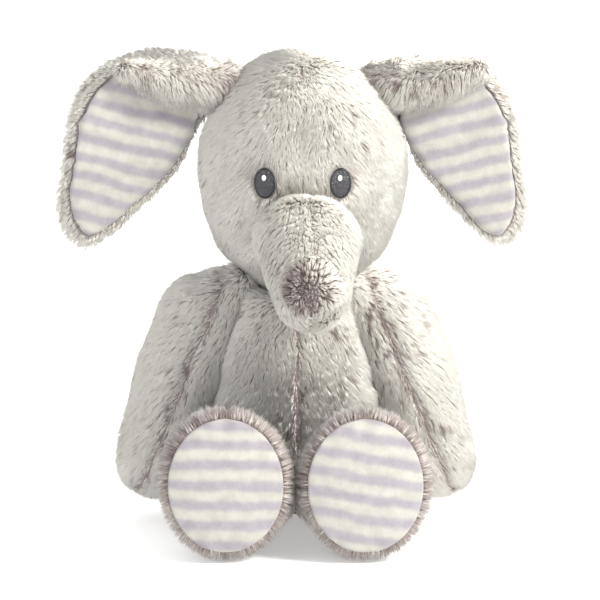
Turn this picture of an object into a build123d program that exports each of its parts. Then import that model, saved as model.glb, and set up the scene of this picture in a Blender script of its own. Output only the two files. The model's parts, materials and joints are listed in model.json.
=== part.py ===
"""Stuffed plush elephant, sitting upright: covers, stuffing, soles, ears, eyes and tail.

Millimetres, +Z up. The toy faces -Y, so its own left side is +X.
The origin is the middle of the flat seat. Every cover is a plush shell around its own stuffing,
and each limb turns on a round root that sits in a matching socket with a small running gap.
"""
import os
from math import acos, cos, pi, sin

from build123d import *

# ---- driving dimensions -------------------------------------------------------------
SIDES = {"left": 1, "right": -1}
PILE = 5.0                    # plush fabric with its lying pile
LINING = 3.0                  # short striped velour
STITCH = 0.9                  # height of the embroidered thread
GAP = 0.5                     # running gap between bodies

# Oval bodies are lists of (half width, height), from the lowest section to the highest.
TORSO_PROFILE = [(46, 0), (57, 12), (62, 36), (61, 75), (55, 105), (45, 128), (33, 141), (0, 147)]
TORSO_FLATNESS = 0.86         # depth over width
SIDE_SEAM_Y = 4.0
POUCH_PROFILE = [(26, 0), (34, 7), (34, 17), (24, 24)]
POUCH_PLACE = (0, 10, 8)

HEAD_X = 4.0
HEAD_Y = -2.0
HEAD_PROFILE = [
    (30, 149), (48, 156), (58, 174), (65, 209), (57, 246), (38, 271), (20, 281), (0, 284),
]
HEAD_FLATNESS = 0.9
NECK = Vector(HEAD_X, HEAD_Y, 158)
HEAD_BALL_R = 33.0
NECK_BALL_R = 20.0
NECK_STALK_R = 9.0
NECK_STALK_LOW = 112.0
NECK_OPENING_R = 28.0         # the cone in the head's underside that the stalk nods in
NECK_OPENING_DEEP = 35.0

EYE_SPREAD = 22.0             # from the middle of the head
EYE_HEIGHT = 206.0
EYE_WIDTH = 12.5
EYE_TALL = 17.7

TRUNK_ROOT = Vector(5, -57, 174)
TRUNK_TIP = Vector(9, -97, 147)
TRUNK_ROOT_R = 27.5
TRUNK_TIP_R = 22.5
TRUNK_DROOP = 10.0            # how far the trunk bends down from rest, degrees
TRUNK_DROOP_STEPS = 2

# The ear is drawn flat: (distance out from the head's middle, height).
EAR_SEAM_TOP = (37, 272)
EAR_SEAM_LOW = (57, 245)
EAR_RIM_POINTS = [
    (60, 279), (84, 282), (108, 276), (125, 262), (134, 240), (139, 205),
    (140, 178), (127, 163), (103, 175), (84, 198), (74, 221), (67, 237),
]
LINING_POINTS = [
    (70, 244), (84, 259), (104, 265), (118, 256), (127, 236), (132, 206),
    (132, 184), (124, 171), (105, 182), (89, 202), (79, 222), (71, 236),
]
EAR_REACH = {"left": 0.93, "right": 1.05}     # how wide each ear spreads, over the drawing
EAR_ROOT_R = 7.0
EAR_NOTCH_LOW = 6.0           # room in the head below the seam, for the ear's lower corner
EAR_SWEEP = 8.0               # how far the ears lean forward, degrees
FOLD_ROOT = (62, 269)
FOLD_END = (100, 273)
FOLD_ROOT_R = 10.0
FOLD_END_R = 5.5
FOLD_ROOT_FORWARD = 4.0
FOLD_END_FORWARD = 1.0

SHOULDER = Vector(54, 4, 117)
SHOULDER_R = 31.0
HAND = Vector(84, -10, 36.5)
HAND_R = 25.0
ARM_SEAM_NORMAL = Vector(1, 0, 0.4)

HIP = Vector(38.9, -60, 32)
HIP_R = 31.5
LEG_LIFT = 35.0               # how far a leg swings up, degrees
THIGH_LENGTH = 60.0
FOOT_SECTIONS = [             # y, half width, half height, centre height
    (-60, 31.0, 31.2, 32.0),
    (-82, 31.5, 32.5, 33.0),
    (-106, 35.0, 39.0, 39.4),
    (-126, 38.2, 44.4, 44.8),
    (-141, 35.5, 41.0, 45.4),
]
SOLE_HALF_WIDTH = 31.5
SOLE_HALF_HEIGHT = 37.0
SOLE_HEIGHT = 45.4

TAIL_ROOT = Vector(0, 53, 46)
TAIL_ROOT_R = 7.0
TAIL_END = Vector(0, 68, 15)
TAIL_END_R = 5.0
TAIL_PILE = 3.0

BIG = 400.0                   # larger than the whole toy
SLIGHT = 0.1                  # keeps a cone from ending in a point, and a capsule from being a tube


# ---- shape helpers ------------------------------------------------------------------
def at(point):
    return Pos(point.X, point.Y, point.Z)


def ball(centre, radius):
    return at(centre) * Sphere(radius)


def capsule(start, start_r, end, end_r):
    """Two balls joined by the cone that touches both, as one turned solid."""
    line = end - start
    length = line.length
    slope = acos((start_r - end_r) / length)
    half_start = slope + (pi - slope) / 2

    def on_ball(radius, centre, angle):
        return (radius * sin(angle), centre + radius * cos(angle))

    touch_start = on_ball(start_r, 0, slope)
    touch_end = on_ball(end_r, length, slope)
    bottom = (0, -start_r)
    top = (0, length + end_r)
    outline = [
        ThreePointArc(bottom, on_ball(start_r, 0, half_start), touch_start),
        Line(touch_start, touch_end),
        ThreePointArc(touch_end, on_ball(end_r, length, slope / 2), top),
        Line(top, bottom),
    ]
    turned = revolve(Plane.XZ * make_face(Curve() + outline), Axis.Z)
    return Plane(origin=start, z_dir=line) * turned


def oval_body(profile, flatness, inset=0.0):
    """Ovals stacked along Z, squeezed front to back. inset moves the whole surface inwards."""
    low = profile[0][1]
    high = profile[-1][1]
    middle = (low + high) / 2
    widest = max(radius for radius, height in profile)
    shorter = (high - low - 2 * inset) / (high - low)
    narrower = (widest - inset) / widest
    sections = []
    for radius, height in profile:
        z = middle + (height - middle) * shorter
        wide = radius * narrower
        section = Pos(0, 0, z) * Ellipse(wide, wide * flatness) if radius else Vertex(0, 0, z)
        sections.append(section)
    return loft(sections)


def beyond_x(x, sign):
    """Everything past x, on its plus or its minus side."""
    return Pos(x + sign * BIG / 2, 0, 0) * Box(BIG, 2 * BIG, 2 * BIG)


def beyond_y(y, sign):
    return Pos(0, y + sign * BIG / 2, 0) * Box(2 * BIG, BIG, 2 * BIG)


def turned(shape, centre, axis, angle):
    return shape.rotate(Axis(centre, axis), angle)


def carved(shape, cuts):
    for cut in cuts:
        shape = shape - cut
    return largest(shape)


def largest(shape):
    """The one solid of a result, without crumbs."""
    return max(shape.solids(), key=lambda solid: solid.volume)


def on_side(shape, side):
    return shape if side == "left" else mirror(shape, about=Plane.YZ)


def on_head(shape, side="left"):
    return Pos(HEAD_X, HEAD_Y, 0) * on_side(shape, side)


# ---- outer shapes, each with an inset that moves its surface inwards ----------------
def arm_shape(inset=0.0):
    return capsule(SHOULDER, SHOULDER_R - inset, HAND, HAND_R - inset)


def trunk_shape(inset=0.0):
    return capsule(TRUNK_ROOT, TRUNK_ROOT_R - inset, TRUNK_TIP, TRUNK_TIP_R - inset)


def tail_shape(inset=0.0):
    return capsule(TAIL_ROOT, TAIL_ROOT_R - inset, TAIL_END, TAIL_END_R - inset)


def leg_shape(inset=0.0):
    sections = []
    front = FOOT_SECTIONS[-1][0]
    for y, half_width, half_height, height in FOOT_SECTIONS:
        depth = y + inset if y == front else y
        place = Plane(origin=(HIP.X, depth, height), x_dir=(1, 0, 0), z_dir=(0, -1, 0))
        sections.append(place * Ellipse(half_width - inset, half_height - inset))
    return largest(loft(sections) + ball(HIP, HIP_R - inset))


def lifted_thigh(inset):
    """The room that the root of a leg needs when it is swung right up."""
    knee = HIP - Vector(0, THIGH_LENGTH, 0)
    thigh = capsule(HIP, HIP_R - inset, knee, HIP_R - inset - SLIGHT)
    return turned(thigh, HIP, (1, 0, 0), -LEG_LIFT)


def neck_shape(inset=0.0):
    stalk = Cylinder(NECK_STALK_R - inset, NECK.Z - NECK_STALK_LOW)
    middle = Pos(NECK.X, NECK.Y, (NECK.Z + NECK_STALK_LOW) / 2)
    return ball(NECK, NECK_BALL_R - inset) + middle * stalk


def torso_shape(inset=0.0):
    grow = GAP + inset
    cuts = [ball(NECK, HEAD_BALL_R + grow), neck_shape(-grow), tail_shape(-grow)]
    for side in SIDES:
        cuts.append(on_side(arm_shape(-grow), side))
        cuts.append(on_side(lifted_thigh(-grow), side))
    return carved(oval_body(TORSO_PROFILE, TORSO_FLATNESS, inset), cuts)


def head_shape(inset=0.0):
    grow = GAP + inset
    hanging = (Align.CENTER, Align.CENTER, Align.MAX)
    opening = Cone(NECK_OPENING_R + inset, SLIGHT + inset, NECK_OPENING_DEEP, align=hanging)
    cuts = [ball(NECK, NECK_BALL_R + grow), at(NECK) * opening]
    for step in range(TRUNK_DROOP_STEPS + 1):
        droop = TRUNK_DROOP * step / TRUNK_DROOP_STEPS
        cuts.append(turned(trunk_shape(-grow), TRUNK_ROOT, (1, 0, 0), droop))
    for side in SIDES:
        cuts.append(on_head(ear_root(grow, EAR_NOTCH_LOW), side))
    skull = on_head(oval_body(HEAD_PROFILE, HEAD_FLATNESS, inset))
    return carved(skull + ball(NECK, HEAD_BALL_R - inset), cuts)


def panels(outer, filling, cut_x, names):
    """The cover of a filling, cut in two at cut_x: a panel on the minus side, then the plus side."""
    return {name: (outer & beyond_x(cut_x, sign)) - filling for name, sign in names.items()}


# ---- sub-parts ----------------------------------------------------------------------
def torso_parts():
    outer = torso_shape()
    filling = torso_shape(PILE)
    pouch = Pos(*POUCH_PLACE) * oval_body(POUCH_PROFILE, TORSO_FLATNESS)
    parts = {"torso_stuffing": filling - pouch, "seat_pellet_pouch": pouch}
    for face, facing in (("front", -1), ("back", 1)):
        names = {f"body_{face}_{side}": sign for side, sign in SIDES.items()}
        parts.update(panels(outer & beyond_y(SIDE_SEAM_Y, facing), filling, 0, names))
    return parts


def eye(sign):
    """Stitched oval that stands a thread's height off the face."""
    place = Plane(origin=(sign * EYE_SPREAD, 0, EYE_HEIGHT), x_dir=(1, 0, 0), z_dir=(0, -1, 0))
    prism = place * extrude(Ellipse(EYE_WIDTH / 2, EYE_TALL / 2), BIG / 2)
    raised = oval_body(HEAD_PROFILE, HEAD_FLATNESS, -STITCH)
    face = oval_body(HEAD_PROFILE, HEAD_FLATNESS)
    return on_head(largest((prism & raised) - face))


def head_parts():
    outer = head_shape()
    filling = head_shape(PILE)
    parts = {"head_stuffing": filling, "neck_stuffing": neck_shape()}
    names = {f"head_cover_{side}": sign for side, sign in SIDES.items()}
    parts.update(panels(outer, filling, HEAD_X, names))
    parts.update({f"eye_{side}": eye(sign) for side, sign in SIDES.items()})
    return parts


def trunk_parts():
    filling = trunk_shape(PILE)
    names = {f"trunk_cover_{side}": sign for side, sign in SIDES.items()}
    return {"trunk_stuffing": filling, **panels(trunk_shape(), filling, TRUNK_ROOT.X, names)}


def ear_root(grow=0.0, longer=0.0):
    """The rolled edge along the ear's seam, on the left of the head's middle."""
    top = Vector(EAR_SEAM_TOP[0], 0, EAR_SEAM_TOP[1])
    low = Vector(EAR_SEAM_LOW[0], 0, EAR_SEAM_LOW[1])
    along = (low - top).normalized()
    end = low + along * longer
    rod = Cylinder(EAR_ROOT_R + grow, (end - top).length + 2 * grow)
    return Plane(origin=(end + top) * 0.5, z_dir=along) * rod


def ear_parts(side):
    """Plush back with a rolled fold along its top edge, and the striped lining in front."""
    reach = EAR_REACH[side]
    seam_x = EAR_SEAM_TOP[0]

    def spread(point):
        return (seam_x + (point[0] - seam_x) * reach, point[1])

    rim = [EAR_SEAM_TOP] + [spread(point) for point in EAR_RIM_POINTS] + [EAR_SEAM_LOW]
    outline = make_face(Curve() + [Spline(*rim), Line(rim[-1], rim[0])])
    plate = Plane.XZ * extrude(outline, -PILE)
    lining_edge = Spline(*[spread(point) for point in LINING_POINTS], periodic=True)
    lining = Plane.XZ * extrude(make_face(lining_edge), LINING)
    fold_x, fold_z = spread(FOLD_ROOT)
    end_x, end_z = spread(FOLD_END)
    fold_root = Vector(fold_x, -FOLD_ROOT_FORWARD, fold_z)
    fold_end = Vector(end_x, -FOLD_END_FORWARD, end_z)
    fold = capsule(fold_root, FOLD_ROOT_R, fold_end, FOLD_END_R)
    back = plate + fold + ear_root()
    seam_top = Vector(EAR_SEAM_TOP[0], 0, EAR_SEAM_TOP[1])
    seam_way = Vector(EAR_SEAM_LOW[0], 0, EAR_SEAM_LOW[1]) - seam_top
    return {
        f"ear_back_{side}": on_head(turned(largest(back), seam_top, seam_way, EAR_SWEEP), side),
        f"ear_lining_{side}": on_head(turned(largest(lining), seam_top, seam_way, EAR_SWEEP), side),
    }


def arm_parts(side):
    """Outer and inner plush panels, which meet along the front and back of the arm."""
    outer = arm_shape()
    filling = arm_shape(PILE)
    seam = Plane(origin=(SHOULDER + HAND) * 0.5, z_dir=ARM_SEAM_NORMAL)
    parts = {f"arm_stuffing_{side}": on_side(filling, side)}
    for half, keep in (("outer", Keep.TOP), ("inner", Keep.BOTTOM)):
        panel = split(outer, bisect_by=seam, keep=keep) - filling
        parts[f"arm_{half}_{side}"] = on_side(panel, side)
    return parts


def leg_parts(side):
    """Two plush halves around the stuffing, with the flat striped sole let into the front."""
    filling = leg_shape(PILE)
    outer = leg_shape()
    front = FOOT_SECTIONS[-1][0]
    place = Plane(origin=(HIP.X, front + PILE, SOLE_HEIGHT), x_dir=(1, 0, 0), z_dir=(0, -1, 0))
    sole_cut = place * extrude(Ellipse(SOLE_HALF_WIDTH, SOLE_HALF_HEIGHT), BIG / 2)
    names = {f"leg_outer_{side}": 1, f"leg_inner_{side}": -1}
    parts = panels(outer - sole_cut, filling, HIP.X, names)
    parts[f"sole_{side}"] = outer & sole_cut
    parts[f"leg_stuffing_{side}"] = filling
    return {name: on_side(shape, side) for name, shape in parts.items()}


def tail_parts():
    filling = tail_shape(TAIL_PILE)
    return {"tail_cover": tail_shape() - filling, "tail_stuffing": filling}


def main():
    os.makedirs("parts", exist_ok=True)
    parts = {**torso_parts(), **head_parts(), **trunk_parts(), **tail_parts()}
    for side in SIDES:
        parts.update({**ear_parts(side), **arm_parts(side), **leg_parts(side)})
    for name, shape in parts.items():
        export_step(shape, f"parts/{name}.step")


if __name__ == "__main__":
    main()
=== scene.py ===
"""Looks of the seated plush elephant: fabric skins, combed pile, striped velour and stitched eyes.

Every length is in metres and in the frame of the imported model. The toy faces -Y, +Z is up and
its own left is +X. Each part's skin is grown from the stuffing solid of the same part, and the
pile is real geometry: closed tapered locks of fibre that are combed along a flow over each skin.
"""
import json
from math import cos, pi, radians, sin

import bmesh
import bpy
import numpy as np
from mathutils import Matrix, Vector
from mathutils.bvhtree import BVHTree


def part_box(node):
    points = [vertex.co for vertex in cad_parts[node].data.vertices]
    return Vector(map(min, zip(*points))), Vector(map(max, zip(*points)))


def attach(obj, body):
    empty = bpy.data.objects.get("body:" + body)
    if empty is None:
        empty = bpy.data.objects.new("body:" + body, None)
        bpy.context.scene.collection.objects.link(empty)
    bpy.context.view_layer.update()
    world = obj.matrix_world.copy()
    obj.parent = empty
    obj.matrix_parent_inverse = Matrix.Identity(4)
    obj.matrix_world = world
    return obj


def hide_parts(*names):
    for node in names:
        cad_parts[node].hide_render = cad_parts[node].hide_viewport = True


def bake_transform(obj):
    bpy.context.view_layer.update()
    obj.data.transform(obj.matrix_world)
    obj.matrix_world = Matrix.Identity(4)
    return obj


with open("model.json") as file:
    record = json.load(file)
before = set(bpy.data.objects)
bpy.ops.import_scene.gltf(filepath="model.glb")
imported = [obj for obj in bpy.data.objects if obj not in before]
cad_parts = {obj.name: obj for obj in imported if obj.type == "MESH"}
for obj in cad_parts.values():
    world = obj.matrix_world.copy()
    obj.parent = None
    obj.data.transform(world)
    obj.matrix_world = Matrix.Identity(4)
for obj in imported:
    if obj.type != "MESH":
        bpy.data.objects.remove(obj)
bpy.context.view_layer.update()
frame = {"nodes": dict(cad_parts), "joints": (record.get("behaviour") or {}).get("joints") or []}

MM = 0.001
SIDES = {"left": 1, "right": -1}

# ---- driving values ------------------------------------------------------------------
PILE_LENGTH = 8.0 * MM
PILE_DENSITY = 2.6e6          # locks per square metre
LOCK_WIDTH = 0.72 * MM        # width of a lock of fibres at its root
CLUMP = 3.6 * MM              # spacing of the points that locks lean together to
CLUMP_PULL = 0.55             # how far a lock's tip leans to its clump, from 0 to 1
CLUMP_TONE = 0.14             # how much the clumps differ in tone
ROOT_DEPTH = 0.6 * MM         # how deep a lock starts under the skin
LENGTH_LEAST = 0.82           # the shortest lock, as a share of the pile's length
LENGTH_RANGE = 0.36
WIDTH_LEAST = 0.7             # the thinnest lock, as a share of the lock width
WIDTH_RANGE = 0.6
TONE_MIDDLE = 0.60            # tone runs from 0, dark, to 1, pale
TONE_SPREAD = 0.12
STREAK_SIZE = 2.2 * MM        # of the dark gaps between locks
STREAK_STRETCH = [1.0, 1.0, 0.4]
STREAK_DARK = 0.55
RUFFLE_SIZE = 22 * MM         # of the patches where those gaps show
PATCH_SIZE = 16 * MM
PATCH_TONE = 0.08
COMB_WANDER = 0.34            # how far the combing strays over each wander size
COMB_WANDER_SIZES = (10 * MM, 26 * MM)
COMB_SCATTER = 0.10
FLAT_RISE, STAND_RISE = 0.40, 0.55    # a lock's rise off the skin, and what standing adds
FLAT_LEAN, STAND_LEAN = 0.88, 0.70    # a lock's lean along the skin, and what standing takes
FLOOR_CLEAR = 0.4 * MM
SKIN_VOXEL = 4.0 * MM
SKIN_LUMPS, LUMP_SIZE = 0.9 * MM, 26 * MM
SKIN_DIMPLES, DIMPLE_SIZE = 0.5 * MM, 9 * MM
STUFFING_FRAMES = 20
STUFFING_PRESSURE = 4.0
STUFFING_SWELL = 2.0 * MM     # the furthest that the simulation may move a point
SEAM_WANDER = 1.3 * MM
SEAM_FADE = 8 * MM            # over which a seam that starts part way up fades in


# ---- small vector helpers ------------------------------------------------------------
def unit(vectors):
    return vectors / np.maximum(np.linalg.norm(vectors, axis=-1, keepdims=True), 1e-12)


def dots(a, b):
    return (a * b).sum(-1, keepdims=True)


def box_middle(node):
    low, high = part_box(node)
    return (np.array(low) + np.array(high)) / 2


def smooth_step(low, high, value):
    t = np.clip((value - low) / (high - low), 0, 1)
    return t * t * (3 - 2 * t)


def lattice_random(cells, seed):
    """A repeatable random number in 0..1 for each integer cell."""
    mixed = (cells[..., 0] * 73856093) ^ (cells[..., 1] * 19349663) ^ (cells[..., 2] * 83492791)
    mixed = (mixed + seed * 2654435761) & 0xFFFFFFFF
    mixed = ((mixed ^ (mixed >> 15)) * 2246822519) & 0xFFFFFFFF
    mixed = ((mixed ^ (mixed >> 13)) * 3266489917) & 0xFFFFFFFF
    return ((mixed ^ (mixed >> 16)) & 0xFFFFFF) / float(0xFFFFFF)


def soft_noise(points, size, seed):
    """Smooth noise in -1..1 with features of about the given size."""
    scaled = points / size
    base = np.floor(scaled).astype(np.int64)
    part = scaled - base
    part = part * part * (3 - 2 * part)
    total = np.zeros(len(points))
    for corner in np.ndindex(2, 2, 2):
        weight = np.ones(len(points))
        for axis in range(3):
            weight = weight * (part[:, axis] if corner[axis] else 1 - part[:, axis])
        total += weight * lattice_random(base + np.array(corner), seed)
    return total * 2 - 1


def soft_noise_vectors(points, size, seed):
    return np.stack([soft_noise(points, size, seed + axis) for axis in range(3)], 1)


def clump_points(points, size, seed):
    """For each point, the nearest of a jittered grid of points, and a random number for it."""
    base = np.floor(points / size).astype(np.int64)
    best = np.full(len(points), np.inf)
    nearest = np.zeros_like(points)
    tone = np.zeros(len(points))
    for corner in np.ndindex(3, 3, 3):
        cell = base + np.array(corner) - 1
        jitter = np.stack([lattice_random(cell, seed + axis) for axis in range(3)], 1)
        centre = (cell + jitter) * size
        away = ((centre - points) ** 2).sum(1)
        closer = away < best
        best[closer] = away[closer]
        nearest[closer] = centre[closer]
        tone[closer] = lattice_random(cell, seed + 9)[closer]
    return nearest, tone


# ---- mesh helpers --------------------------------------------------------------------
def new_object(name, mesh):
    piece = bpy.data.objects.new(name, mesh)
    bpy.context.scene.collection.objects.link(piece)
    return piece


def mesh_from(name, points, faces):
    mesh = bpy.data.meshes.new(name)
    mesh.from_pydata([tuple(point) for point in points], [], [tuple(face) for face in faces])
    mesh.update()
    return mesh


def welded_nodes(*nodes):
    shape = bmesh.new()
    for node in nodes:
        shape.from_mesh(frame["nodes"][node].data)
    bmesh.ops.remove_doubles(shape, verts=shape.verts, dist=0.02 * MM)
    return shape


def wrapped(shape):
    """The tight convex wrap of a mesh, which closes the sockets in it."""
    result = bmesh.ops.convex_hull(shape, input=shape.verts)
    left_over = result["geom_interior"] + result["geom_unused"]
    inner = {element for element in left_over if isinstance(element, bmesh.types.BMVert)}
    bmesh.ops.delete(shape, geom=list(inner), context="VERTS")
    return shape


def evened(name, shape, voxel, smoothing):
    """A new object with an even mesh over a closed shape."""
    mesh = bpy.data.meshes.new(name)
    shape.to_mesh(mesh)
    shape.free()
    piece = new_object(name, mesh)
    remesh = piece.modifiers.new("even", "REMESH")
    remesh.mode = "VOXEL"
    remesh.voxel_size = voxel
    relax = piece.modifiers.new("relax", "SMOOTH")
    relax.factor = 0.5
    relax.iterations = smoothing
    return applied(piece)


def applied(piece):
    """Bakes the modifiers of a piece into its mesh."""
    view = bpy.context.evaluated_depsgraph_get()
    mesh = bpy.data.meshes.new_from_object(piece.evaluated_get(view))
    mesh.name = piece.name
    piece.modifiers.clear()
    piece.data = mesh
    return piece


def stuffed(piece, cap):
    """Settles a sewn skin under stuffing pressure by cloth simulation, within cap.

    The skin is already full, so most points move by much less than the cap.
    """
    scene = bpy.context.scene
    rest = coordinates(piece.data)
    cloth = piece.modifiers.new("stuffing", "CLOTH")
    cloth.settings.use_pressure = True
    cloth.settings.uniform_pressure_force = STUFFING_PRESSURE
    cloth.settings.effector_weights.gravity = 0.0
    cloth.point_cache.frame_end = STUFFING_FRAMES
    for number in range(1, STUFFING_FRAMES + 1):
        scene.frame_set(number)
    applied(piece)
    moved = coordinates(piece.data) - rest
    far = np.linalg.norm(moved, axis=1, keepdims=True)
    set_coordinates(piece.data, rest + moved * np.minimum(1, cap / np.maximum(far, cap * 0.01)))
    scene.frame_set(1)
    return piece


def coordinates(mesh):
    flat = np.empty(len(mesh.vertices) * 3)
    mesh.vertices.foreach_get("co", flat)
    return flat.reshape(-1, 3)


def normals_of(mesh):
    flat = np.empty(len(mesh.vertices) * 3)
    mesh.vertices.foreach_get("normal", flat)
    return flat.reshape(-1, 3)


def set_coordinates(mesh, points):
    mesh.vertices.foreach_set("co", points.reshape(-1))
    mesh.update()


def triangles(mesh):
    mesh.calc_loop_triangles()
    flat = np.empty(len(mesh.loop_triangles) * 3, dtype=np.int64)
    mesh.loop_triangles.foreach_get("vertices", flat)
    return flat.reshape(-1, 3)


def surface_tree(mesh):
    """A search tree over a mesh, to cast rays at it."""
    points = [tuple(point) for point in coordinates(mesh)]
    return BVHTree.FromPolygons(points, [tuple(face) for face in triangles(mesh).tolist()])


def shade_smooth(piece):
    piece.data.polygons.foreach_set("use_smooth", [True] * len(piece.data.polygons))
    return piece


# ---- seams -----------------------------------------------------------------------------
class Seam:
    """A sewn line where a plane cuts a skin, on the side that it faces."""

    def __init__(self, point, normal, facing, width=4.5, depth=1.6, dark=0.3, part=0.4, above=None):
        """width and depth are in millimetres; above is the height that the seam starts at."""
        self.point = np.array(point, float)
        self.normal = unit(np.array(normal, float))
        self.facing = unit(np.array(facing, float))
        self.width = width * MM
        self.depth = depth * MM
        self.dark = dark
        self.part = part
        self.above = above

    def weight(self, points, normals):
        across = dots(points - self.point, self.normal)[:, 0]
        across = across + SEAM_WANDER * soft_noise(points, 13 * MM, 51)
        on_side = smooth_step(0.0, 0.35, dots(normals, self.facing)[:, 0])
        weight = np.exp(-((across / self.width) ** 2)) * on_side
        if self.above is not None:
            low, high = self.above - SEAM_FADE, self.above + SEAM_FADE
            weight = weight * smooth_step(low, high, points[:, 2])
        return weight, np.sign(across)


# ---- pile ------------------------------------------------------------------------------
def grow_pile(name, skin, flow, seed, keep=None, seams=(), length=PILE_LENGTH, density=PILE_DENSITY,
              width=LOCK_WIDTH, lift=None, shade=None, trim=None):
    """Closed tapered locks of fibre over a skin.

    flow(points, normals) combs them, keep(points, normals) says where they grow, lift(points)
    stands them up from 0, combed flat, to 1, shade(points) makes them darker or lighter, and
    trim(points, normals) shortens them.
    """
    rng = np.random.default_rng(seed)
    mesh = skin.data
    points = coordinates(mesh)
    normals = normals_of(mesh)
    corners = triangles(mesh)
    a, b, c = (points[corners[:, k]] for k in range(3))
    areas = np.linalg.norm(np.cross(b - a, c - a), axis=1) / 2
    count = int(areas.sum() * density)
    chosen = rng.choice(len(areas), size=count, p=areas / areas.sum())
    u, v = rng.random((2, count))
    flip = u + v > 1
    u[flip], v[flip] = 1 - u[flip], 1 - v[flip]
    weights = np.stack([1 - u - v, u, v], 1)
    root = np.einsum("nk,nkd->nd", weights, points[corners[chosen]])
    normal = unit(np.einsum("nk,nkd->nd", weights, normals[corners[chosen]]))
    if keep is not None:
        kept = keep(root, normal)
        root, normal = root[kept], normal[kept]
    count = len(root)

    comb = flow(root, normal)
    tone = TONE_MIDDLE + TONE_SPREAD * rng.standard_normal(count)
    streaks = soft_noise(root * STREAK_STRETCH, STREAK_SIZE, seed + 31)
    ruffled = 0.5 + 0.5 * soft_noise(root, RUFFLE_SIZE, seed + 37)
    tone = tone - STREAK_DARK * smooth_step(0.36, 0.75, streaks) * smooth_step(0.2, 0.8, ruffled)
    reach = length * (LENGTH_LEAST + LENGTH_RANGE * rng.random(count))
    stand = np.zeros(count) if lift is None else lift(root)
    if trim is not None:
        reach = reach * trim(root, normal)
    for seam in seams:
        weight, side = seam.weight(root, normal)
        comb = comb + seam.normal * (side * weight * seam.part)[:, None]
        reach = reach * (1 - 0.35 * weight)
        tone = tone - seam.dark * weight
    for index, size in enumerate(COMB_WANDER_SIZES):
        comb = comb + COMB_WANDER * soft_noise_vectors(root, size, seed + 5 * index)
    comb = comb + COMB_SCATTER * rng.standard_normal((count, 3))
    comb = unit(comb - normal * dots(comb, normal))
    if shade is not None:
        tone = tone + shade(root)
    tone = tone + PATCH_TONE * soft_noise(root, PATCH_SIZE, seed + 11)

    centre, clump_tone = clump_points(root, CLUMP, seed + 21)
    pull = centre - root
    pull = pull - normal * dots(pull, normal)
    tone = np.clip(tone + CLUMP_TONE * (clump_tone - 0.5), 0.02, 0.98)

    rise = (FLAT_RISE + STAND_RISE * stand)[:, None]
    lean = (FLAT_LEAN - STAND_LEAN * stand)[:, None]
    base = root - normal * ROOT_DEPTH
    tip = root + reach[:, None] * (normal * rise + comb * lean) + CLUMP_PULL * pull

    along = unit(tip - base)
    side = unit(np.cross(along, normal + 0.01))
    other = np.cross(along, side)
    spin = rng.random(count) * 2 * pi
    thick = (width * (WIDTH_LEAST + WIDTH_RANGE * rng.random(count)))[:, None] / 2
    corners = []
    for corner in range(3):
        angle = (spin + corner * 2 * pi / 3)[:, None]
        corners.append(base + thick * (side * np.cos(angle) + other * np.sin(angle)))
    lock_points = off_floor(np.stack(corners + [tip], 1).reshape(-1, 3))

    first = np.arange(count)[:, None] * 4
    pattern = np.array([[0, 2, 1], [0, 1, 3], [1, 2, 3], [2, 0, 3]])
    faces = (first[:, :, None] + pattern[None]).reshape(-1, 3)
    height = np.array([0, 0, 0, 1.0])
    spread = np.array([0, 0.006, 0.012, 0.006])
    tones = np.clip(tone[:, None] + spread, 0, 1)
    uv = np.stack([tones, np.tile(height, (count, 1))], 2).reshape(-1, 2)
    return fast_mesh(name, lock_points, faces, uv)


def off_floor(points):
    """Pile under the toy is pressed flat: it thins out towards the floor without reaching it."""
    low = points[:, 2] < 2 * FLOOR_CLEAR
    depth = points[low, 2] - 2 * FLOOR_CLEAR
    pressed = points.copy()
    pressed[low, 2] = FLOOR_CLEAR * (1 + np.exp(depth / (4 * FLOOR_CLEAR)))
    return pressed


def fast_mesh(name, points, faces, uv):
    mesh = bpy.data.meshes.new(name)
    mesh.vertices.add(len(points))
    mesh.vertices.foreach_set("co", points.reshape(-1))
    mesh.loops.add(len(faces) * 3)
    mesh.loops.foreach_set("vertex_index", faces.reshape(-1))
    mesh.polygons.add(len(faces))
    mesh.polygons.foreach_set("loop_start", np.arange(len(faces)) * 3)
    layer = mesh.uv_layers.new(name="OFBake")
    layer.data.foreach_set("uv", uv[faces.reshape(-1)].reshape(-1))
    mesh.update(calc_edges=True)
    mesh.polygons.foreach_set("use_smooth", [True] * len(faces))
    return new_object(name, mesh)


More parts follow.
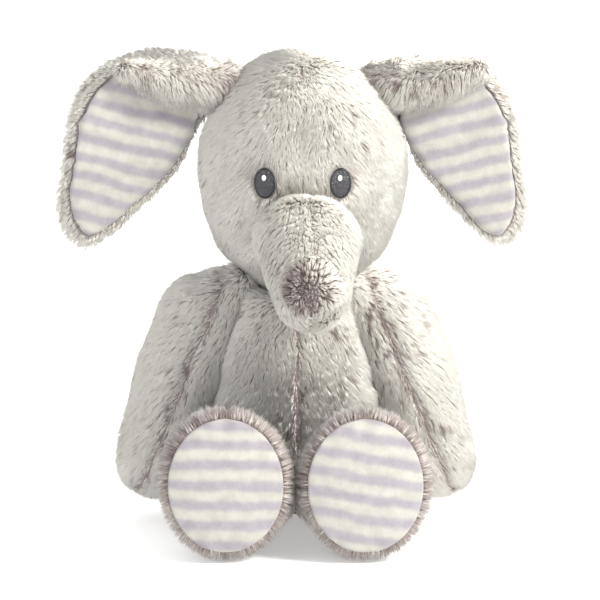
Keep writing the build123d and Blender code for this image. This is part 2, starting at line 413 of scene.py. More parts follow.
# ---- materials ---------------------------------------------------------------------------
class Nodes:
    """A material with a node tree that is easy to wire up."""

    def __init__(self, name, roughness, sheen=0.0):
        self.material = bpy.data.materials.new(name)
        self.material.use_nodes = True
        self.tree = self.material.node_tree
        self.shader = self.tree.nodes["Principled BSDF"]
        self.shader.inputs["Roughness"].default_value = roughness
        self.shader.inputs["Specular IOR Level"].default_value = 0.2
        self.shader.inputs["Sheen Weight"].default_value = sheen
        self.shader.inputs["Sheen Roughness"].default_value = 0.45

    def add(self, kind, **settings):
        node = self.tree.nodes.new(kind)
        for key, value in settings.items():
            if key in node.inputs:
                node.inputs[key].default_value = value
            else:
                setattr(node, key, value)
        return node

    def join(self, start, out, end, into):
        self.tree.links.new(start.outputs[out], end.inputs[into])

    def ramp(self, *stops):
        node = self.add("ShaderNodeValToRGB")
        ramp = node.color_ramp
        while len(ramp.elements) < len(stops):
            ramp.elements.new(0.5)
        for element, (place, colour) in zip(ramp.elements, stops):
            element.position = place
            element.color = (*colour, 1)
        return node

    def mix(self, first, second, factor, blend="MIX"):
        """first, second and factor are (node, output) pairs or constants."""
        node = self.add("ShaderNodeMix", data_type="RGBA", blend_type=blend)
        for value, socket in ((factor, 0), (first, 6), (second, 7)):
            if isinstance(value, tuple) and isinstance(value[0], bpy.types.Node):
                self.tree.links.new(value[0].outputs[value[1]], node.inputs[socket])
            elif isinstance(value, tuple):
                node.inputs[socket].default_value = (*value, 1)
            else:
                node.inputs[socket].default_value = value
        return node


def plush_material():
    """Colour runs from brown roots to pale tips, and from dark to light locks."""
    m = Nodes("plush_pile", roughness=0.75, sheen=0.25)
    layer = m.add("ShaderNodeUVMap", uv_map="OFBake")
    split = m.add("ShaderNodeSeparateXYZ")
    m.join(layer, "UV", split, "Vector")
    tips = m.ramp(
        (0.0, (0.30, 0.235, 0.23)), (0.20, (0.54, 0.475, 0.455)), (0.42, (0.87, 0.845, 0.79)),
        (0.62, (0.945, 0.93, 0.87)), (1.0, (0.98, 0.97, 0.92)),
    )
    m.join(split, "X", tips, "Fac")
    rise = m.ramp((0.0, (0.15, 0.15, 0.15)), (0.20, (0.65, 0.65, 0.65)), (0.50, (1.0, 1.0, 1.0)))
    m.join(split, "Y", rise, "Fac")
    colour = m.mix((0.52, 0.45, 0.43), (tips, "Color"), (rise, "Color"))
    m.join(colour, 2, m.shader, "Base Color")
    return m.material


def backing_material():
    """The knitted backing and dense roots under the pile."""
    m = Nodes("plush_backing", roughness=0.9, sheen=0.1)
    where = m.add("ShaderNodeTexCoord")
    speckle = m.add("ShaderNodeTexNoise", Scale=900.0, Detail=3.0)
    m.join(where, "Object", speckle, "Vector")
    colour = m.ramp((0.3, (0.24, 0.20, 0.195)), (0.7, (0.42, 0.37, 0.36)))
    m.join(speckle, "Fac", colour, "Fac")
    m.join(colour, "Color", m.shader, "Base Color")
    return m.material


def velour_material(name, tilt, pitch=11.3 * MM):
    """Cream velour with soft lavender stripes, tilted about the Y axis."""
    m = Nodes(name, roughness=0.85, sheen=0.45)
    where = m.add("ShaderNodeTexCoord")
    turn = m.add("ShaderNodeMapping")
    turn.inputs["Rotation"].default_value = (0, tilt, 0)
    m.join(where, "Object", turn, "Vector")
    warp = m.add("ShaderNodeTexNoise", Scale=42.0, Detail=2.0)
    m.join(where, "Object", warp, "Vector")
    split = m.add("ShaderNodeSeparateXYZ")
    m.join(turn, "Vector", split, "Vector")
    wander = m.add("ShaderNodeMath", operation="MULTIPLY_ADD")
    wander.inputs[1].default_value = 6.0 * MM
    m.join(warp, "Fac", wander, 0)
    m.join(split, "Z", wander, 2)
    turns = m.add("ShaderNodeMath", operation="MULTIPLY")
    turns.inputs[1].default_value = 2 * pi / pitch
    m.join(wander, 0, turns, 0)
    wave = m.add("ShaderNodeMath", operation="SINE")
    m.join(turns, 0, wave, 0)
    fuzz = m.add("ShaderNodeTexNoise", Scale=700.0, Detail=4.0)
    m.join(where, "Object", fuzz, "Vector")
    half = m.add("ShaderNodeMath", operation="MULTIPLY_ADD")
    half.inputs[1].default_value = 0.5
    half.inputs[2].default_value = 0.30
    m.join(wave, 0, half, 0)
    edge = m.add("ShaderNodeMath", operation="MULTIPLY_ADD")
    edge.inputs[1].default_value = 0.40
    m.join(fuzz, "Fac", edge, 0)
    m.join(half, 0, edge, 2)
    stripes = m.ramp((0.0, (0.47, 0.46, 0.42)), (1.0, (0.335, 0.315, 0.345)))
    stripes.color_ramp.interpolation = "EASE"
    m.join(edge, 0, stripes, "Fac")
    nap = m.add("ShaderNodeTexNoise", Scale=160.0, Detail=5.0)
    m.join(where, "Object", nap, "Vector")
    shade = m.ramp((0.35, (0.86, 0.86, 0.87)), (0.65, (1.0, 1.0, 1.0)))
    m.join(nap, "Fac", shade, "Fac")
    colour = m.mix((stripes, "Color"), (shade, "Color"), 1.0, blend="MULTIPLY")
    m.join(colour, 2, m.shader, "Base Color")
    bump = m.add("ShaderNodeBump", Strength=0.5, Distance=0.5 * MM)
    m.join(fuzz, "Fac", bump, "Height")
    m.join(bump, "Normal", m.shader, "Normal")
    return m.material


def thread_material(name, dark, light):
    """Embroidery thread with fine twist and a soft shine."""
    m = Nodes(name, roughness=0.5, sheen=0.2)
    where = m.add("ShaderNodeTexCoord")
    twist = m.add("ShaderNodeTexNoise", Scale=1500.0, Detail=2.0)
    m.join(where, "Object", twist, "Vector")
    colour = m.ramp((0.3, dark), (0.7, light))
    m.join(twist, "Fac", colour, "Fac")
    m.join(colour, "Color", m.shader, "Base Color")
    return m.material


def fibre_material():
    m = Nodes("fibrefill", roughness=0.9, sheen=0.3)
    where = m.add("ShaderNodeTexCoord")
    tangle = m.add("ShaderNodeTexNoise", Scale=260.0, Detail=6.0)
    m.join(where, "Object", tangle, "Vector")
    colour = m.ramp((0.3, (0.80, 0.80, 0.79)), (0.7, (0.95, 0.95, 0.94)))
    m.join(tangle, "Fac", colour, "Fac")
    m.join(colour, "Color", m.shader, "Base Color")
    bump = m.add("ShaderNodeBump", Strength=0.6, Distance=1.0 * MM)
    m.join(tangle, "Fac", bump, "Height")
    m.join(bump, "Normal", m.shader, "Normal")
    return m.material


PLUSH = plush_material()
BACKING = backing_material()
DARK_THREAD = thread_material("dark_thread", (0.022, 0.022, 0.027), (0.12, 0.12, 0.135))
RIM_THREAD = thread_material("rim_thread", (0.015, 0.015, 0.018), (0.04, 0.04, 0.048))
LIGHT_THREAD = thread_material("light_thread", (0.75, 0.75, 0.76), (0.92, 0.92, 0.93))
FIBRE = fibre_material()


def paint(piece, material):
    piece.data.materials.clear()
    piece.data.materials.append(material)
    return piece


# ---- skins ---------------------------------------------------------------------------------
def add_ball(shape, centre, radii):
    made = bmesh.ops.create_icosphere(shape, subdivisions=4, radius=1.0)
    for vertex in made["verts"]:
        vertex.co = Vector(centre) + vertex.co * Vector(radii)


def stuffed_skin(name, body, filling, covers, seams=(), wrap=False, extra=(), puff=0.0):
    """The sewn fabric over a filling, pulled tight over extra (centre, radii) balls of stuffing."""
    shape = welded_nodes(filling)
    for centre, radii in extra:
        add_ball(shape, centre, radii)
    if wrap or extra:
        wrapped(shape)
    skin = stuffed(evened(name, shape, SKIN_VOXEL, smoothing=6), STUFFING_SWELL)
    points, normals = coordinates(skin.data), normals_of(skin.data)
    lumps = SKIN_LUMPS * soft_noise(points, LUMP_SIZE, len(name))
    push = puff * MM + lumps + SKIN_DIMPLES * soft_noise(points, DIMPLE_SIZE, 3)
    for seam in seams:
        push = push - seam.depth * seam.weight(points, normals)[0]
    set_coordinates(skin.data, points + normals * push[:, None])
    shade_smooth(skin)
    paint(skin, BACKING)
    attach(skin, body)
    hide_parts(filling, *covers)
    return skin


def add_pile(name, body, skin, flow, seed, **more):
    pile = grow_pile(name, skin, flow, seed, **more)
    paint(pile, PLUSH)
    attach(pile, body)
    return pile


def left_half(middle):
    return lambda points, normals: points[:, 0] >= middle


def right_half(middle):
    return lambda points, normals: points[:, 0] < middle


def facing_y(facing, middle):
    return lambda points, normals: (points[:, 1] - middle) * facing > 0


def both(first, second):
    return lambda points, normals: first(points, normals) & second(points, normals)


# ---- head ------------------------------------------------------------------------------------
HEAD_MIDDLE = box_middle("head_stuffing")
EYES = {side: box_middle(f"eye_{side}") for side in SIDES}
TRUNK_ROOT = np.array(next(j for j in frame["joints"] if j["name"] == "trunk_lift")["pos_m"])
BROW_RISE = 27 * MM            # height of the brow seam over the trunk's hinge
CROWN_LENGTH = 45 * MM         # how far the crown seam runs down from the top
EYE_CLEAR = 0.94               # the pile stops just inside the stitched border
EYE_HALF = (np.array(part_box("eye_left")[1]) - np.array(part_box("eye_left")[0])) / 2


def outside_eyes(points, normals):
    free = np.ones(len(points), bool)
    for place in EYES.values():
        across = (points[:, 0] - place[0]) / (EYE_HALF[0] * EYE_CLEAR)
        up = (points[:, 2] - place[2]) / (EYE_HALF[2] * EYE_CLEAR)
        free &= (across**2 + up**2 > 1) | (points[:, 1] > 0)
    return free


def head_flow(points, normals):
    away = points - HEAD_MIDDLE
    flow = np.stack([away[:, 0] * 13, away[:, 1] * 2.5, np.full(len(points), -0.75)], 1)
    for place in EYES.values():
        near = points - place
        weight = np.exp(-((near[:, [0, 2]] ** 2).sum(1)) / (13 * MM) ** 2) * (points[:, 1] < 0)
        flow = flow + (unit(near * [1, 0, 1]) * [1.0, 0, 1.2]) * weight[:, None] * 0.8
    return flow


def painted_eye_and_brow_shade(points):
    """Painted shade: darker pile in the dents around and above the eyes and in the crease along the seam
    over the muzzle.
    """
    dark = np.zeros(len(points))
    for place in EYES.values():
        near = points - place
        spread = (near[:, 0] / (8 * MM)) ** 2 + ((near[:, 2] - 6 * MM) / (12 * MM)) ** 2
        dark = dark - 0.34 * np.exp(-spread) * (points[:, 1] < 0)
    # painted shade in the crease along the brow seam over the muzzle
    over_brow = (points[:, 2] - TRUNK_ROOT[2] - BROW_RISE) / (3.5 * MM)
    between = 1 - smooth_step(14 * MM, 20 * MM, np.abs(points[:, 0] - TRUNK_ROOT[0]))
    return dark - 0.30 * np.exp(-over_brow**2) * between * (points[:, 1] < 0)


def make_head():
    covers = ["head_cover_left", "head_cover_right"]
    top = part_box("head_stuffing")[1][2]
    crown = Seam(HEAD_MIDDLE, (1, 0, 0), (0, -0.4, 0.9), width=1.6, depth=0.8, dark=0.10, part=0.1,
                 above=top - CROWN_LENGTH)
    cheeks = [(HEAD_MIDDLE + np.array([x, 0, -36.0]) * MM, np.array([24.0, 28.0, 20.0]) * MM)
              for x in (-26.0, 24.0)]
    skin = stuffed_skin("head_skin", "head", "head_stuffing", covers, seams=[crown], extra=cheeks)
    seed = 11
    for side, half in (("left", left_half(HEAD_MIDDLE[0])), ("right", right_half(HEAD_MIDDLE[0]))):
        for face, facing in (("front", -1), ("back", 1)):
            quarter = both(both(half, facing_y(facing, HEAD_MIDDLE[1])), outside_eyes)
            # the pile around the eyes and along the brow gets painted shade
            add_pile(f"head_pile_{face}_{side}", "head", skin, head_flow, seed, keep=quarter, seams=[crown],
                     shade=painted_eye_and_brow_shade)
            seed += 1
    return skin


# ---- trunk -----------------------------------------------------------------------------------
TRUNK_BOX = [np.array(corner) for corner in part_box("trunk_stuffing")]
TRUNK_CORE_R = 17.5 * MM       # of the stuffing at its end
TRUNK_TIP_R = 20.5 * MM
TRUNK_PILE_LENGTH = 6.5 * MM
TRUNK_PILE_DENSITY = 3.2e6     # locks per square metre
TRUNK_SWELL = 1.0 * MM
TRUNK_TIP = np.array([9 * MM, TRUNK_BOX[0][1] + TRUNK_CORE_R, TRUNK_BOX[0][2] + TRUNK_CORE_R])
TRUNK_WAY = unit(TRUNK_TIP - TRUNK_ROOT)
TIP_FACE = TRUNK_TIP + TRUNK_TIP_R * unit(np.array([0.0, -0.86, 0.45]))


def trunk_flow(points, normals):
    return np.tile(TRUNK_WAY, (len(points), 1)) + (points - TRUNK_ROOT) * [6, 0, 0]


def tip_lift(points):
    away = np.linalg.norm(points - TIP_FACE, axis=1)
    return 1 - smooth_step(14 * MM, 24 * MM, away)


def tip_roots_and_painted_shade(points):
    """The end-on pile shows its brown roots; the toy's right of the seam, away from the key light, is
    darker with painted shade.
    """
    # painted shade on the toy's right half of the trunk's end, the side away from the key light; the
    # mottling is the brown roots
    right = 1 - smooth_step(-3 * MM, 1 * MM, points[:, 0] - TRUNK_TIP[0])
    mottled = 0.5 + 0.5 * soft_noise(points, 6 * MM, 91)
    return -(0.02 + 0.24 * right + 0.22 * mottled) * tip_lift(points)


def ball_hull(name, balls, voxel):
    """A smooth stuffed shape pulled tight over balls, each (centre, radii)."""
    shape = bmesh.new()
    for centre, radii in balls:
        add_ball(shape, centre, radii)
    return evened(name, wrapped(shape), voxel, smoothing=8)


def make_trunk():
    """The muzzle is one sewn tube with the trunk: wide under the brow, narrow at the end."""
    brow = TRUNK_ROOT + np.array([1.0, -6.0, 16.5]) * MM
    cheek = TRUNK_ROOT + np.array([1.5, 6.0, -1.0]) * MM
    balls = [
        (brow, np.array([20.0, 9.0, 8.0]) * MM),
        (cheek, np.array([30.0, 24.0, 22.0]) * MM),
        (TRUNK_TIP + np.array([0, 2.0, 0]) * MM, np.full(3, TRUNK_TIP_R)),
    ]
    skin = stuffed(ball_hull("trunk_skin", balls, SKIN_VOXEL), TRUNK_SWELL)
    ridge = Seam(TRUNK_ROOT + [3 * MM, 0, 0], (1, 0.06, 0), (0, -0.5, 0.85), width=1.8, depth=1.0,
                 dark=0.12, part=0.1)
    below = Seam(TRUNK_TIP, (1, 0, 0), (0, -0.6, -0.8), width=1.6, depth=0.8, dark=0.3)
    points, normals = coordinates(skin.data), normals_of(skin.data)
    push = 0.8 * MM * soft_noise(points, 20 * MM, 5) - ridge.depth * ridge.weight(points, normals)[0]
    set_coordinates(skin.data, points + normals * push[:, None])
    shade_smooth(skin)
    paint(skin, BACKING)
    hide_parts("trunk_stuffing", "trunk_cover_left", "trunk_cover_right")
    pieces = [skin]
    for side, half in (("left", left_half(TRUNK_ROOT[0])), ("right", right_half(TRUNK_ROOT[0]))):
        pile = grow_pile(f"trunk_pile_{side}", skin, trunk_flow, 21 + (side == "left"), keep=half,
                         seams=[ridge, below], lift=tip_lift, shade=tip_roots_and_painted_shade,
                         length=TRUNK_PILE_LENGTH, density=TRUNK_PILE_DENSITY)
        pieces.append(paint(pile, PLUSH))
    for piece in pieces:
        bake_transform(piece)
    return skin


# ---- torso -----------------------------------------------------------------------------------
TORSO_MIDDLE = box_middle("torso_stuffing")
TORSO_SIDE_SEAM = 4 * MM       # where the front and back panels meet, along Y
SEAT_NORMAL = -0.75            # no pile grows where the skin faces down more than this


def torso_flow(points, normals):
    away = points - TORSO_MIDDLE
    return np.stack([away[:, 0] * 6, away[:, 1] * 3, np.full(len(points), -1.0)], 1)


def make_torso():
    covers = [f"body_{face}_{side}" for face in ("front", "back") for side in SIDES]
    front = Seam((0, 0, 0), (1, 0, 0), (0, -1, 0), width=2.6, depth=1.6)
    back = Seam((0, 0, 0), (1, 0, 0), (0, 1, 0), width=2.6, depth=1.6)
    skin = stuffed_skin("torso_skin", "torso", "torso_stuffing", covers, seams=[front, back], wrap=True)
    seed = 31
    for face, facing in (("front", -1), ("back", 1)):
        for side, half in (("left", left_half(0)), ("right", right_half(0))):
            def on_panel(points, normals, facing=facing, half=half):
                on_face = (points[:, 1] - TORSO_SIDE_SEAM) * facing >= 0
                return half(points, normals) & on_face & (normals[:, 2] > SEAT_NORMAL)
            add_pile(f"body_pile_{face}_{side}", "torso", skin, torso_flow, seed,
                     keep=on_panel, seams=[front, back])
            seed += 1
    return skin


# ---- arms ------------------------------------------------------------------------------------
def make_arm(side, sign):
    body = f"arm_{side}"
    covers = [f"arm_outer_{side}", f"arm_inner_{side}"]
    middle = box_middle(f"arm_stuffing_{side}")
    way = unit(np.array([sign * 0.37, -0.12, -1.0]))
    front = Seam(middle + [sign * 2 * MM, 0, 0], (sign, 0, 0.4), (0, -1, 0), width=3.4, depth=1.6)
    back = Seam(middle, (sign, 0, 0.4), (0, 1, 0), width=3.0, depth=1.2)
    joint = next(j for j in frame["joints"] if j["name"] == f"arm_raise_{side}")
    collar = np.array(joint["pos_m"]) + np.array([-19.0 * sign, -2.0, 20.0]) * MM
    bulge = np.array(joint["pos_m"]) + np.array([12.0 * sign, -5.0, -30.0]) * MM
    plump = [(collar, np.full(3, 13 * MM)), (bulge, np.full(3, 27 * MM))]
    skin = stuffed_skin(f"arm_skin_{side}", body, f"arm_stuffing_{side}", covers, seams=[front, back],
                        extra=plump, puff=1.5)

    def flow(points, normals):
        return np.tile(way, (len(points), 1)) + np.array([sign * 0.35, 0, 0])

    for half, facing in (("outer", 1), ("inner", -1)):
        def on_panel(points, normals, facing=facing):
            return dots(points - front.point, front.normal)[:, 0] * facing >= 0
        add_pile(f"arm_pile_{half}_{side}", body, skin, flow, 41 + (sign > 0) * 2 + (facing > 0),
                 keep=on_panel, seams=[front, back])
    return skin


# ---- legs and soles ----------------------------------------------------------------------------
SOLE_TILT = {"left": -10.0, "right": -1.5}      # how the stripes slope, in degrees
SOLE_DOME = 3.4 * MM
SOLE_INSET = 1.6 * MM          # how far the sewn edge lies behind the front of the CAD sole
SOLE_THICK = 5.5 * MM
SOLE_SPREAD = 1.02             # the velour's size against the CAD sole's
SOLE_BACK_SPREAD = 0.97
PUCKERS = 17
PUCKER_DEPTH = 0.45 * MM
DIMPLE_DEPTH = 1.6 * MM        # of the two dents at the top and bottom of the edge


def make_leg(side, sign):
    body = f"leg_{side}"
    low, high = (np.array(corner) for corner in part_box(f"sole_{side}"))
    centre = (low + high) / 2
    half_width, half_height = (high[0] - low[0]) / 2, (high[2] - low[2]) / 2
    front = low[1]
    covers = [f"leg_outer_{side}", f"leg_inner_{side}"]
    skin = stuffed_skin(f"leg_skin_{side}", body, f"leg_stuffing_{side}", covers, puff=1.0)

    def around_sole(points):
        across = (points[:, 0] - centre[0]) / half_width
        up = (points[:, 2] - centre[2]) / half_height
        return np.sqrt(across**2 + up**2)

    def off_sole(points, normals):
        return ~((around_sole(points) < 0.97) & (points[:, 1] < front + 14 * MM))

    def flow(points, normals):
        away = (points - centre) * [1, 0, 1]
        near_front = 1 - smooth_step(5 * MM, 30 * MM, points[:, 1] - front)
        return unit(away) * (0.35 + 0.6 * near_front)[:, None] + [0, 0.8, -0.12]

    def shade(points):
        edge = np.exp(-(((around_sole(points) - 1.0) / 0.10) ** 2)) * (points[:, 1] < front + 12 * MM)
        return -0.46 * edge

    def lift(points):
        near = np.exp(-(((around_sole(points) - 1.0) / 0.16) ** 2)) * (points[:, 1] < front + 12 * MM)
        return 0.30 * near

    top_seam = Seam(centre, (1, 0, 0), (0, 0, 1), width=2.6, depth=1.2)
    for half, facing in (("outer", sign), ("inner", -sign)):
        def on_panel(points, normals, facing=facing):
            return off_sole(points, normals) & ((points[:, 0] - centre[0]) * facing >= 0)
        add_pile(f"leg_pile_{half}_{side}", body, skin, flow, 51 + (sign > 0) * 2 + (facing > 0),
                 keep=on_panel, seams=[top_seam], lift=lift, shade=shade)
    make_sole(side, centre, half_width, half_height, front)
    return skin


def make_sole(side, centre, half_width, half_height, front):
    """A plump oval of velour, puckered where it is sewn into the plush."""
    rings, spokes = 26, 120
    points, faces = [], []
    for ring in range(rings + 1):
        out = ring / rings
        for spoke in range(spokes):
            angle = 2 * pi * spoke / spokes
            dome = SOLE_DOME * (1 - out**2.6)
            pucker = PUCKER_DEPTH * sin(angle * PUCKERS + 0.6 * sin(3 * angle)) * out**5
            at_edge = np.exp(-((1 - out) / 0.09) ** 2)
            dimple = DIMPLE_DEPTH * at_edge * np.exp(-(cos(angle) / 0.13) ** 2)
            x = centre[0] + half_width * SOLE_SPREAD * out * cos(angle)
            z = centre[2] + half_height * SOLE_SPREAD * out * sin(angle)
            points.append((x, front + SOLE_INSET - dome + pucker + dimple, z))
    back = len(points)
    for spoke in range(spokes):
        angle = 2 * pi * spoke / spokes
        x = centre[0] + half_width * SOLE_BACK_SPREAD * cos(angle)
        z = centre[2] + half_height * SOLE_BACK_SPREAD * sin(angle)
        points.append((x, front + SOLE_THICK, z))
    for ring in range(rings):
        for spoke in range(spokes):
            here, after = ring * spokes + spoke, ring * spokes + (spoke + 1) % spokes
            faces.append((here, after, after + spokes, here + spokes))
    outer = rings * spokes
    for spoke in range(spokes):
        after = (spoke + 1) % spokes
        faces.append((outer + spoke, outer + after, back + after, back + spoke))
    faces.append([back + spoke for spoke in range(spokes)])
    mesh = mesh_from(f"sole_velour_{side}", points, faces)
    shape = bmesh.new()
    shape.from_mesh(mesh)
    bmesh.ops.remove_doubles(shape, verts=shape.verts, dist=0.01 * MM)
    bmesh.ops.recalc_face_normals(shape, faces=shape.faces)
    shape.to_mesh(mesh)
    shape.free()
    sole = new_object(f"sole_velour_{side}", mesh)
    shade_smooth(sole)
    paint(sole, velour_material(f"velour_sole_{side}", radians(SOLE_TILT[side])))
    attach(sole, f"leg_{side}")
    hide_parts(f"sole_{side}")


# ---- ears --------------------------------------------------------------------------------------
EAR_BELLY = 10.0 * MM
EAR_PILE_LENGTH = 6.0 * MM
EAR_PILE_TONE = -0.07
EAR_BACK_VOXEL, EAR_LINING_VOXEL, EAR_FOLD_VOXEL = 2.2 * MM, 1.6 * MM, 2.5 * MM
EAR_TILT = 14.0               # the stripes run down towards the head, in degrees
# The roll of plush over the top of the lining, from the top of the ear's seam: out, forward, down.
FOLD_BALLS = [((9, 4, 14), 12.0), ((20, 9, 15), 10.5), ((44, 12, 11), 8.5), ((68, 13, 3), 5.0)]


def make_ear(side, sign):
    body = f"ear_{side}"
    joint = next(j for j in frame["joints"] if j["name"] == f"ear_flap_{side}")
    seam_top = np.array(joint["pos_m"])
    middle = box_middle(f"ear_lining_{side}")

    def towards_head(points):
        """The ear bellies out towards the head, under its fold."""
        inward = smooth_step(-5 * MM, 25 * MM, (middle[0] - points[:, 0]) * sign)
        down = seam_top[2] - points[:, 2]
        band = smooth_step(12 * MM, 32 * MM, down) * (1 - smooth_step(55 * MM, 100 * MM, down))
        return np.array([-sign * EAR_BELLY, 0, 0]) * (inward * band)[:, None]

    back = evened(f"ear_skin_{side}", welded_nodes(f"ear_back_{side}"), EAR_BACK_VOXEL, smoothing=4)
    points, normals = coordinates(back.data), normals_of(back.data)
    set_coordinates(back.data, points + towards_head(points) - normals * 2.0 * MM)
    shade_smooth(back)
    paint(back, BACKING)
    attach(back, body)
    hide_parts(f"ear_back_{side}")

    lining_shape = welded_nodes(f"ear_lining_{side}")
    lining = evened(f"ear_velour_{side}", lining_shape, EAR_LINING_VOXEL, smoothing=5)
    points, normals = coordinates(lining.data), normals_of(lining.data)
    down = seam_top[2] - points[:, 2]
    creased = 1 - smooth_step(15 * MM, 55 * MM, down)
    slanted = np.stack([points[:, 0] * sign * 0.45 - points[:, 2], points[:, 0] * 0.25, points[:, 1]], 1)
    ripple = 0.9 * MM * soft_noise(points * [1.0, 1, 0.6], 22 * MM, 7)
    ripple = ripple + (0.5 + 3.0 * creased) * MM * soft_noise(slanted, 9 * MM, 8 + (sign > 0))
    belly = towards_head(points)
    set_coordinates(lining.data, points + belly + normals * (0.9 * MM + ripple)[:, None])
    shade_smooth(lining)
    paint(lining, velour_material(f"velour_ear_{side}", radians(EAR_TILT * sign)))
    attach(lining, body)
    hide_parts(f"ear_lining_{side}")

    tree = surface_tree(lining.data)

    def off_lining(points, normals):
        kept = np.ones(len(points), bool)
        for index in np.nonzero(normals[:, 1] < 0)[0]:
            hit = tree.ray_cast(Vector(points[index] + [0, 6 * MM, 0]), Vector((0, -1, 0)), 16 * MM)
            kept[index] = hit[0] is None
        return kept

    def flow(points, normals):
        away = (points - seam_top) * [1, 0, 1]
        out = (points - middle) * [1, 0, 1]
        rim = smooth_step(0.55, 0.9, 1 - np.abs(normals[:, 1]))
        return unit(away) * 0.8 + unit(out) * (0.3 + rim)[:, None] + [0, -0.1, -0.35]

    def trim(points, normals):
        inner = smooth_step(0.2, 0.8, unit((points - middle) * [1, 0, 1])[:, 0] * -sign)
        low = smooth_step(20 * MM, 45 * MM, seam_top[2] - points[:, 2])
        rim = smooth_step(0.35, 0.8, 1 - np.abs(normals[:, 1]))
        return (1 - 0.65 * inner * low) * (1 - 0.25 * rim)

    balls = [(seam_top + np.array([sign * out, -forward, -down]) * MM, np.full(3, radius * MM))
             for (out, forward, down), radius in FOLD_BALLS]
    fold = ball_hull(f"ear_fold_{side}", balls, EAR_FOLD_VOXEL)
    shade_smooth(fold)
    paint(fold, BACKING)
    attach(fold, body)

    def fold_flow(points, normals):
        return np.tile([-0.35 * sign, -0.2, -1.0], (len(points), 1))

    def fold_shade(points):
        return -0.20 + 0.18 * soft_noise(points * [1, 1, 0.4], 8 * MM, 17)

    add_pile(f"ear_fold_pile_{side}", body, fold, fold_flow, 81 + (sign > 0), shade=fold_shade)

    def ear_shade(points):
        return np.full(len(points), EAR_PILE_TONE)

    for part, facing in (("front", -1), ("behind", 1)):
        def on_side(points, normals, facing=facing):
            return (normals[:, 1] * facing >= 0) & off_lining(points, normals)
        add_pile(f"ear_pile_{part}_{side}", body, back, flow, 61 + (sign > 0) * 2 + (facing > 0),
                 keep=on_side, length=EAR_PILE_LENGTH, trim=trim, shade=ear_shade)


# ---- eyes ----------------------------------------------------------------------------------------
FILL_COLUMNS, FILL_ROWS = 30, 3
BORDER_STITCHES = 96
GLINT_ROWS = 9
FILL_PROUD, BORDER_PROUD, GLINT_PROUD = 3.4, (3.7, 3.3), 3.95    # over the skin, in millimetres


def stitch(points, faces, start, end, rise, width, steps=6):
    """One raised thread from start to end: a half round ribbon, closed underneath."""
    along = unit(end - start)
    side = unit(np.cross(along, [0.0, 1.0, 0.0])) * width / 2
    out = np.array([0.0, -1.0, 0.0])
    first = len(points)
    for step in range(steps + 1):
        t = step / steps
        swell = np.sqrt(np.clip(1 - (2 * t - 1) ** 4, 0.02, 1))
        spine = start + (end - start) * t
        for angle in (0, 60, 120, 180):
            turn = radians(angle)
            points.append(spine + side * cos(turn) * swell + out * rise * sin(turn) * swell)
    for step in range(steps):
        for corner in range(4):
            here = first + step * 4 + corner
            after = first + step * 4 + (corner + 1) % 4
            faces.append((here, after, after + 4, here + 4))
    faces.append(tuple(first + corner for corner in (3, 2, 1, 0)))
    last = first + steps * 4
    faces.append(tuple(last + corner for corner in (0, 1, 2, 3)))


def make_eye(side, head_skin):
    """Filled oval of upright threads, a satin border across the edge, and a light glint."""
    place = EYES[side]
    tree = surface_tree(head_skin.data)

    def on_face(x, z, proud):
        hit = tree.ray_cast(Vector((x, -0.2, z)), Vector((0, 1, 0)))
        return np.array([x, hit[0].y - proud * MM, z])

    half_x, half_z = EYE_HALF[0], EYE_HALF[2]
    layers = {"fill": ([], []), "rim": ([], []), "glint": ([], [])}
    for column in range(FILL_COLUMNS):
        across = -0.93 + 1.86 * (column + 0.5) / FILL_COLUMNS
        tall = np.sqrt(1 - across**2) * 0.97
        x = place[0] + across * half_x
        for row in range(FILL_ROWS):
            low = -tall + 2 * tall * row / FILL_ROWS
            high = low + 2 * tall / FILL_ROWS * 1.06
            shift = 0.10 * ((column % 3) - 1)
            start = on_face(x, place[2] + (low + shift * tall * (row > 0)) * half_z, FILL_PROUD)
            end = on_face(x, place[2] + min(high + shift * tall, tall) * half_z, FILL_PROUD)
            stitch(*layers["fill"], start, end, 0.30 * MM, 0.52 * MM)
    inner_proud, outer_proud = BORDER_PROUD
    for turn in range(BORDER_STITCHES):
        angle = 2 * pi * turn / BORDER_STITCHES
        out, up = half_x * cos(angle), half_z * sin(angle)
        inner = on_face(place[0] + out * 0.80, place[2] + up * 0.86, inner_proud)
        outer = on_face(place[0] + out * 1.03, place[2] + up * 1.03, outer_proud)
        stitch(*layers["rim"], inner, outer, 0.42 * MM, 0.62 * MM, steps=4)
    for row in range(GLINT_ROWS):
        up = 0.18 + 0.36 * (row + 0.5) / GLINT_ROWS
        wide = 0.24 * np.sqrt(1 - ((row - 4) / 4.8) ** 2)
        start = on_face(place[0] + (-wide - 0.08) * half_x, place[2] + up * half_z, GLINT_PROUD)
        end = on_face(place[0] + (wide - 0.08) * half_x, place[2] + up * half_z, GLINT_PROUD)
        stitch(*layers["glint"], start, end, 0.36 * MM, 0.50 * MM, steps=4)
    names = {
        "fill": ("eye_fill", DARK_THREAD),
        "rim": ("eye_border", RIM_THREAD),
        "glint": ("eye_glint", LIGHT_THREAD),
    }
    for layer, (label, material) in names.items():
        piece = new_object(f"{label}_{side}", mesh_from(f"{label}_{side}", *layers[layer]))
        shade_smooth(piece)
        paint(piece, material)
        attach(piece, "head")
        if layer == "fill":
            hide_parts(f"eye_{side}")


# ---- tail ----------------------------------------------------------------------------------------
def tail_flow(points, normals):
    return np.tile([0, 0.3, -1.0], (len(points), 1))


def make_tail():
    skin = stuffed_skin("tail_skin", "tail", "tail_stuffing", ["tail_cover"], puff=1.5)
    add_pile("tail_pile", "tail", skin, tail_flow, 71)


# ---- inside ----------------------------------------------------------------------------------------
def finish_inner_nodes():
    for node in ("neck_stuffing", "seat_pellet_pouch"):
        piece = frame["nodes"][node]
        piece.data.materials.clear()
        piece.data.materials.append(FIBRE)


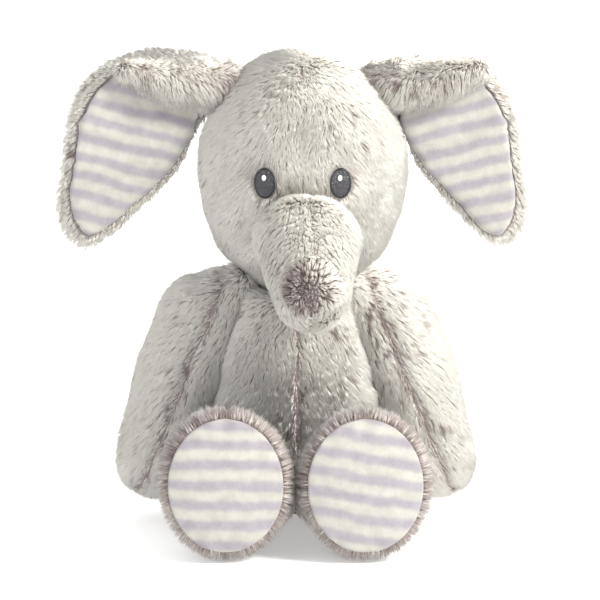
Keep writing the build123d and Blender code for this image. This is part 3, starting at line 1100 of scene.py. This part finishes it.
# ---- floor, light and camera -------------------------------------------------------------------------
FLOOR_GLOW = 0.30
WORLD_STRENGTH = 1.0
KEY_PLACE, KEY_SIZE, KEY_POWER, KEY_COLOUR = (1.35, -1.1, 1.35), 0.6, 50, (1.0, 0.97, 0.91)
LIGHT_AIM = (0, 0, 0.14)
CAMERA_AIM = Vector((2.4 * MM, 0, 130.3 * MM))


def floor_material():
    m = Nodes("studio_floor", roughness=0.9)
    m.shader.inputs["Emission Color"].default_value = (1, 1, 1, 1)
    m.shader.inputs["Emission Strength"].default_value = FLOOR_GLOW
    where = m.add("ShaderNodeTexCoord")
    grain = m.add("ShaderNodeTexNoise", Scale=3.0)
    m.join(where, "Object", grain, "Vector")
    colour = m.ramp((0.0, (0.93, 0.93, 0.93)), (1.0, (0.95, 0.95, 0.95)))
    m.join(grain, "Fac", colour, "Fac")
    m.join(colour, "Color", m.shader, "Base Color")
    return m.material


def make_stage():
    """A pale floor that sweeps up behind the toy."""
    half_wide, near, far, radius, tall, steps = 5.0, -5.0, 1.6, 0.8, 4.0, 16
    line = [(near, 0.0), (far, 0.0)]
    for step in range(1, steps + 1):
        angle = 0.5 * pi * step / steps
        line.append((far + radius * sin(angle), radius * (1 - cos(angle))))
    line.append((far + radius, tall))
    points = [(x, y, z) for y, z in line for x in (-half_wide, half_wide)]
    faces = [(2 * k, 2 * k + 1, 2 * k + 3, 2 * k + 2) for k in range(len(line) - 1)]
    floor = new_object("floor", mesh_from("floor", points, faces))
    shade_smooth(floor)
    floor.data.materials.append(floor_material())


def area_light(name, place, aim, size, power, colour):
    light = bpy.data.lights.new(name, "AREA")
    light.shape = "DISK"
    light.size = size
    light.energy = power
    light.color = colour
    lamp = bpy.data.objects.new(name, light)
    bpy.context.scene.collection.objects.link(lamp)
    lamp.location = place
    lamp.rotation_euler = (Vector(aim) - Vector(place)).to_track_quat("-Z", "Y").to_euler()


def make_light():
    world = bpy.data.worlds.new("studio")
    bpy.context.scene.world = world
    world.use_nodes = True
    world.node_tree.nodes["Background"].inputs["Color"].default_value = (1.0, 1.0, 1.0, 1)
    world.node_tree.nodes["Background"].inputs["Strength"].default_value = WORLD_STRENGTH
    area_light("key", KEY_PLACE, LIGHT_AIM, KEY_SIZE, KEY_POWER, KEY_COLOUR)


def make_camera():
    distance, lift, view_width, sensor = 1.7, radians(8.0), 0.36, 36.0
    camera = bpy.data.cameras.new("camera")
    camera.sensor_width = sensor
    camera.lens = sensor * distance / view_width
    piece = bpy.data.objects.new("camera", camera)
    bpy.context.scene.collection.objects.link(piece)
    piece.location = CAMERA_AIM + distance * Vector((0, -cos(lift), sin(lift)))
    piece.rotation_euler = (CAMERA_AIM - piece.location).to_track_quat("-Z", "Y").to_euler()
    bpy.context.scene.camera = piece
    bpy.context.scene.view_settings.view_transform = "Standard"


make_camera()
make_light()
make_stage()
HEAD_SKIN = make_head()
make_trunk()
make_torso()
make_tail()
for side_name, side_sign in SIDES.items():
    make_eye(side_name, HEAD_SKIN)
    make_arm(side_name, side_sign)
    make_leg(side_name, side_sign)
    make_ear(side_name, side_sign)
finish_inner_nodes()
